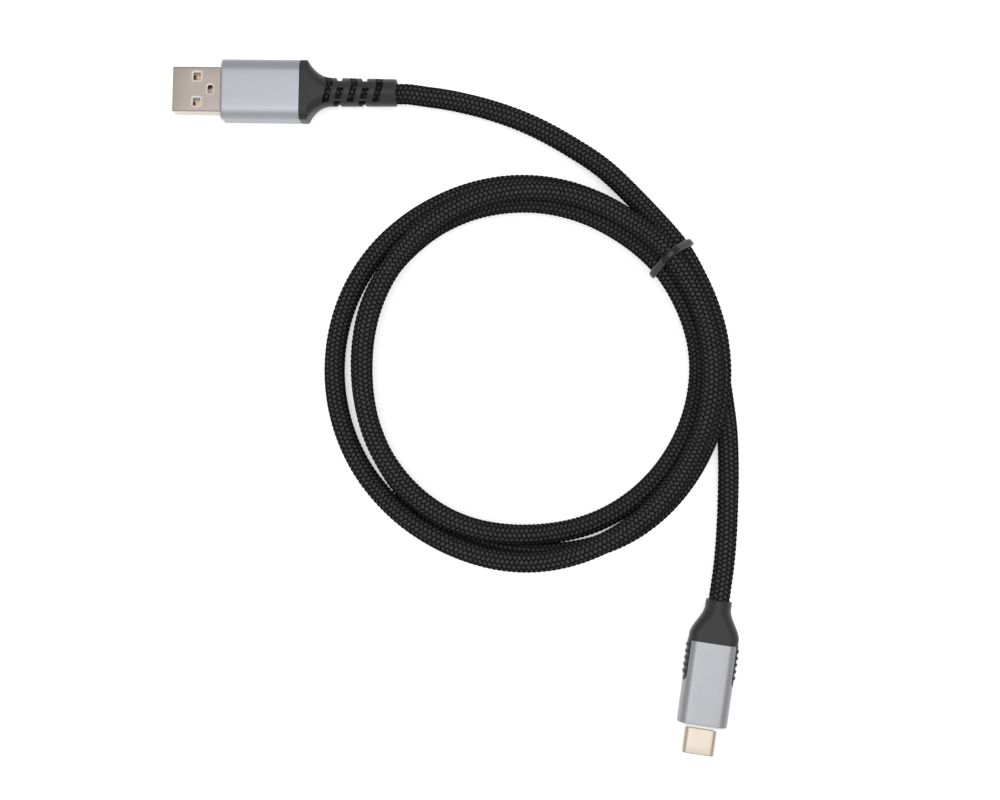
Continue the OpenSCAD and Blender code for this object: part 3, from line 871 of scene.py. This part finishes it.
# The housing, with a polished bevel around its front whose edges are a little soft
C_BODY = (12.8, 6.6, 2.5)
C_BODY_L = 22.1
C_CHAMFER = 1.1
C_SOFT = 0.06
C_OPENING = (8.31, 2.46, 1.23)

c_edge = [(-C_CHAMFER - C_SOFT, 0.0), (-C_CHAMFER + C_SOFT, C_SOFT),
          (-C_SOFT, C_CHAMFER - C_SOFT), (0.0, C_CHAMFER + C_SOFT)]
c_housing = housing("c_housing", C_BODY, C_BODY_L, c_edge, C_OPENING, C_FRAME,
                    [C_ALUMINIUM, POLISHED], bright=(0, 1, 2))
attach(c_housing, "plug_c")
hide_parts("usb_c_housing")


# The USB-C shell: its outline, its wall, how far it goes in, its lip's length and inset, and
# where its inside starts behind the tip
C_SHELL = (8.25, 2.4, 1.2)
C_SHELL_WALL = 0.28
C_SHELL_IN = -4.5
C_LIP = 0.28
C_LIP_INSET = 0.22
C_MOUTH = 0.1


def c_steel_shell():
    """The drawn steel shell, with a round lip and open at its tip."""
    rings = [section(x, *C_SHELL) for x in (C_SHELL_IN, 0.0, 2.0, 4.0, C_SHELL_OUT - C_LIP)]
    for angle in arc_steps(5)[1:]:
        rings.append(section(C_SHELL_OUT - C_LIP * (1 - math.sin(angle)), *C_SHELL,
                             C_LIP_INSET * (1 - math.cos(angle))))
    rings += [section(x, *C_SHELL, C_SHELL_WALL) for x in (C_SHELL_OUT - C_MOUTH, C_SHELL_IN)]
    return loft("c_shell", rings, [C_STEEL], C_FRAME, closed=True)


c_shell = c_steel_shell()
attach(c_shell, "plug_c")
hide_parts("usb_c_shell")


# The strain relief: where along it, as shares, the shoulder starts and how long that is, how
# much narrower than the housing it is, and its round end's length and inset
C_NECK_D = 6.7
C_NECK_STEPS = 30
C_SHOULDER = (0.12, 0.74)
C_NARROWER = 0.12
C_END_L = 0.35
C_END_INSET = 0.3
C_BORE_X = -28.0
C_BORE_CHAMFER = 0.1


def c_strain_relief():
    """The neck behind the housing, bored for the cord."""
    w, h, r = C_BODY
    back = -C_BODY_L
    rings = [section(x, w, h, r, TUCK_INSET) for x in (back + TUCK_L, back)]
    rings += [section(back, w, h, r, C_NARROWER)]
    rings += [section(back - 0.05, w, h, r, C_NARROWER / 2)]
    for k in range(1, C_NECK_STEPS + 1):
        share = k / C_NECK_STEPS
        part = min(1.0, max(0.0, (share - C_SHOULDER[0]) / C_SHOULDER[1]))
        left = 1 - part * part * (3 - 2 * part)
        x = back + (C_END_X + C_END_L - back) * share
        rings.append(section(x, C_NECK_D + (w - C_NARROWER - C_NECK_D) * left,
                             C_NECK_D + (h - C_NARROWER - C_NECK_D) * left,
                             C_NECK_D / 2 + (r - C_NECK_D / 2) * left))
    for angle in arc_steps(3)[1:]:
        rings.append(section(C_END_X + C_END_L * (1 - math.sin(angle)), C_NECK_D, C_NECK_D,
                             C_NECK_D / 2, C_END_INSET * (1 - math.cos(angle))))
    rings += [section(C_END_X, BORE_D, BORE_D, BORE_D / 2, -C_BORE_CHAMFER)]
    bore_places = (C_END_X + C_BORE_CHAMFER, C_BORE_X)
    rings += [section(x, BORE_D, BORE_D, BORE_D / 2) for x in bore_places]
    return loft("c_strain_relief", rings, [OVERMOLD], Matrix.Identity(4))


# A grip's length, height and corner, how far it stands proud and goes in, its soft edge (the
# drop, and how far from the edge that starts), how far it reaches behind the housing, and its
# mesh. Then its ribs: the place of the first one, their pitch, number, half width and height,
# and how far from the grip's long edges they end.
GRIP_L = 10.6
GRIP_H = 5.2
GRIP_CORNER = 1.7
GRIP_PROUD = 0.06
GRIP_DEPTH = 0.6
GRIP_EDGE_DROP = 0.12
GRIP_EDGE = 0.15
GRIP_BEHIND = 0.05
GRIP_GRID = (24, 86)
RIB_FIRST = 1.4
RIB_PITCH = 1.7
RIB_COUNT = 5
RIB_HALF = 0.5
RIB_HEIGHT = 0.34
RIB_ENDS = 0.35


def rib_height(along, z):
    """Height of the grip's ribs over its face."""
    nearest = min(abs(along - RIB_FIRST - RIB_PITCH * k) for k in range(RIB_COUNT))
    if nearest >= RIB_HALF:
        return 0.0
    ends = max(0.0, 1 - (abs(z) / (GRIP_H / 2 - RIB_ENDS)) ** 6)
    return RIB_HEIGHT * math.sqrt(1 - (nearest / RIB_HALF) ** 2) * ends


def c_grip(side):
    """A ribbed strip let into one side of the housing."""
    w, h, r = C_BODY
    flat = h / 2 - r
    across, along = GRIP_GRID
    outer, inner = [], []
    for i in range(across + 1):
        z = GRIP_H * (i / across - 0.5)
        past = max(0.0, abs(z) - flat)
        slope = math.asin(past / r)
        normal = (math.cos(slope), math.copysign(math.sin(slope), z))
        y = w / 2 - r + r * normal[0]
        corner = max(0.0, abs(z) - (GRIP_H / 2 - GRIP_CORNER))
        reach = GRIP_L - GRIP_CORNER + math.sqrt(GRIP_CORNER ** 2 - corner ** 2)
        for k in range(along + 1):
            far = reach * k / along
            lift = GRIP_PROUD + rib_height(far, z)
            edge = min(reach - far, GRIP_H / 2 - abs(z))
            lift -= GRIP_EDGE_DROP * max(0.0, 1 - edge / GRIP_EDGE)
            x = -C_BODY_L - GRIP_BEHIND + far
            outer.append((x, side * (y + lift * normal[0]), z + lift * normal[1]))
            inner.append((x, side * (y - GRIP_DEPTH * normal[0]), z - GRIP_DEPTH * normal[1]))
    n = along + 1
    count = len(outer)
    faces = []
    for i in range(across):
        for k in range(along):
            a = i * n + k
            faces.append((a, a + 1, a + n + 1, a + n))
            faces.append((count + a, count + a + n, count + a + n + 1, count + a + 1))
    rim = [i * n for i in range(across + 1)] + [across * n + k for k in range(1, n)]
    rim += [i * n + along for i in range(across - 1, -1, -1)] + list(range(along - 1, 0, -1))
    for a, b in zip(rim, rim[1:] + rim[:1]):
        faces.append((a, b, count + b, count + a))
    piece = mesh_object("grip", outer + inner, faces, [OVERMOLD])
    tidy(piece)
    return piece


def joined(pieces, place):
    """One object out of several pieces, moved from the plug's own frame to its place."""
    work = bmesh.new()
    for piece in pieces:
        work.from_mesh(piece.data)
    whole = pieces[0]
    work.to_mesh(whole.data)
    work.free()
    for piece in pieces[1:]:
        bpy.data.objects.remove(piece)
    whole.data.transform(place)
    return whole


c_relief = joined([c_strain_relief(), c_grip(1), c_grip(-1)], C_FRAME)
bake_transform(c_relief)
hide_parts("usb_c_overmold")


# ---- rubber ring ------------------------------------------------------------------------

# The ring lies on a slight curve across the bundle: its angle around the coil in degrees is a
# parabola over the distance from BAND_LIE_R, in millimetres
BAND_LIE = (-38.7, -0.033, 0.0194)
BAND_LIE_R = 0.0465
BAND_STEPS = 240
BAND_CORNER = 0.00058


def bundle_sections():
    """Distance from the coil's middle and height of each strand under the ring."""
    _, distance = around_coil(fine_route)
    return [(distance[k], fine_route[k, 2]) for k in crossings]


def tie_band():
    """The ring, stretched around the outermost strands of the bundle."""
    strands = bundle_sections()
    rings = []
    for k in range(BAND_STEPS):
        a = 2 * math.pi * k / BAND_STEPS
        way = (math.cos(a), math.sin(a))
        r, z = max(strands, key=lambda s: s[0] * way[0] + s[1] * way[1])
        ring = []
        for _, dy, dz in section(0.0, BAND_W, BAND_T, BAND_CORNER):
            out = CORD_D / 2 + BAND_T / 2 + dz
            rr, zz = r + out * way[0], z + out * way[1]
            past = (rr - BAND_LIE_R) / MM
            t = math.radians(BAND_LIE[0] + BAND_LIE[1] * past + BAND_LIE[2] * past ** 2)
            x = COIL_MIDDLE[0] + rr * math.cos(t) + dy * math.sin(t)
            y = COIL_MIDDLE[1] - rr * math.sin(t) + dy * math.cos(t)
            ring.append((x, y, zz))
        rings.append(ring)
    return loft("tie_ring", rings, [BAND_RUBBER], Matrix.Identity(4), closed=True)


band = tie_band()
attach(band, "band")
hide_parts("tie_band")


# ---- finishes of the CAD parts that stay ------------------------------------------------

# By the name of each CAD material, without Blender's number behind it
FINISHES = {
    "white_plastic": plastic_material("insulator_white", (0.86, 0.86, 0.82, 1), 0.4),
    "black_plastic": plastic_material("insulator_black", (0.02, 0.02, 0.022, 1), 0.35),
    "inner_mold_plastic": plastic_material("milky_moulding", (0.62, 0.62, 0.58, 1), 0.5),
    "jacket": rubber_material("inner_jacket", 0.02, 0.03, 0.5, 0.65),
    "wire_red": plastic_material("wire_red", (0.45, 0.02, 0.02, 1), 0.4),
    "wire_white": plastic_material("wire_white", (0.7, 0.7, 0.68, 1), 0.4),
    "wire_green": plastic_material("wire_green", (0.02, 0.22, 0.06, 1), 0.4),
    "wire_black": plastic_material("wire_black", (0.02, 0.02, 0.02, 1), 0.4),
    "board": plastic_material("board_green", (0.01, 0.12, 0.05, 1), 0.3),
    "gold": GOLD,
    "ferrule": TINNED,
    "spring_steel": TINNED,
    "cord_braid": BRAID,
    "band_rubber": BAND_RUBBER,
    "overmold_rubber": OVERMOLD,
    "aluminium": A_ALUMINIUM,
    "a_shell_steel": A_STEEL,
    "c_shell_steel": C_STEEL,
}
for node in frame["nodes"].values():
    for node_slot in node.material_slots:
        node_slot.material = FINISHES[node_slot.material.name.split(".")[0]]


# ---- stage and light --------------------------------------------------------------------


def area_light(name, at, towards, size, power, colour=(1, 1, 1)):
    """A rectangular light, size wide and high, that faces a place."""
    data = bpy.data.lights.new(name, "AREA")
    data.shape = "RECTANGLE"
    data.size, data.size_y = size
    data.energy = power
    data.color = colour
    lamp = bpy.data.objects.new(name, data)
    bpy.context.scene.collection.objects.link(lamp)
    lamp.location = at
    lamp.rotation_euler = (Vector(towards) - Vector(at)).to_track_quat("-Z", "Y").to_euler()


# The floor glows a little, so that it renders white like the photograph's ground
FLOOR_HALF = 3.0
FLOOR_GLOW = 0.46

floor_nodes = Nodes("pale_floor")
floor_nodes.set(Base_Color=grey(0.86), Roughness=0.9, Specular_IOR_Level=0.0,
                Emission_Color=grey(1.0), Emission_Strength=FLOOR_GLOW)
floor = mesh_object("floor", [(-FLOOR_HALF, -FLOOR_HALF, 0), (FLOOR_HALF, -FLOOR_HALF, 0),
                              (FLOOR_HALF, FLOOR_HALF, 0), (-FLOOR_HALF, FLOOR_HALF, 0)],
                    [(0, 1, 2, 3)], [floor_nodes.material], smooth=False)

LIT_PLACE = (0.01, 0.0, 0.0)
WORLD_LIGHT = 0.85
area_light("overhead", (0.0, 0.0, 1.3), LIT_PLACE, (1.0, 1.0), 5.6, (0.97, 0.98, 1.0))
area_light("front", (-0.1, -1.6, 0.7), LIT_PLACE, (1.4, 0.7), 1.5)

world = bpy.data.worlds.new("studio")
world.use_nodes = True
background = world.node_tree.nodes["Background"]
background.inputs["Color"].default_value = (1.0, 1.0, 1.0, 1.0)
background.inputs["Strength"].default_value = WORLD_LIGHT
bpy.context.scene.world = world
bpy.context.scene.view_settings.view_transform = "Standard"
